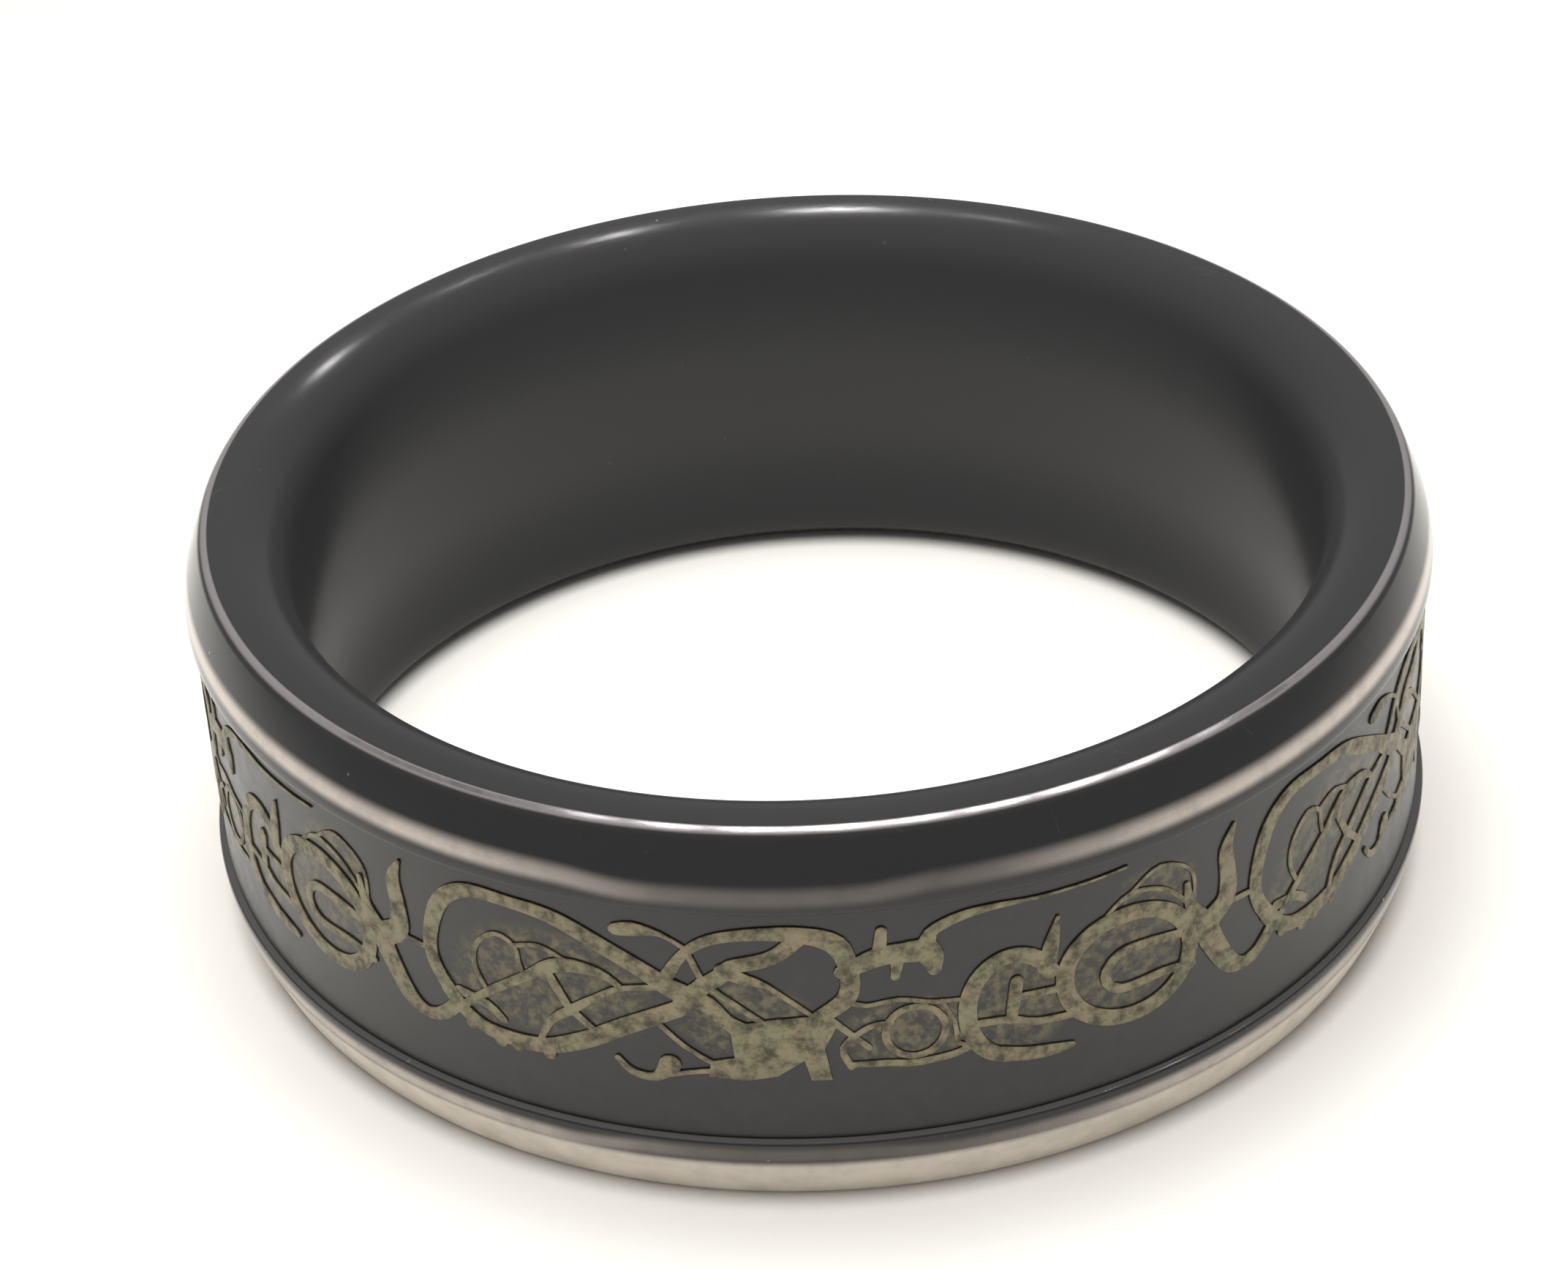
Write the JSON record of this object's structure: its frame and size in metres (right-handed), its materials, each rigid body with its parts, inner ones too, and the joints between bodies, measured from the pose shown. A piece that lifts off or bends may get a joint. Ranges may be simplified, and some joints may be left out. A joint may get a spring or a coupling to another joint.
{
  "type": "wedding band",
  "caption": "Flat black tungsten finger ring with ground flanks, rounded bore edges and a recessed black inlay that carries gold interlace scrollwork.",
  "frame": {"origin": "centre of the bore, in the plane that the band rests on", "axes": "+Z along the bore, away from the resting face; -Y is the front, where the picture looks from"},
  "size_m": [0.0238, 0.0238, 0.008],
  "materials": {
    "black_tungsten": "polished black coating on tungsten carbide",
    "black_inlay": "satin black resin",
    "gold_strip": "matt yellow gold colour"
  },
  "bodies": {
    "root": {"band": "black_tungsten", "inlay": "black_inlay", "scroll": "gold_strip"}
  },
  "joints": []
}
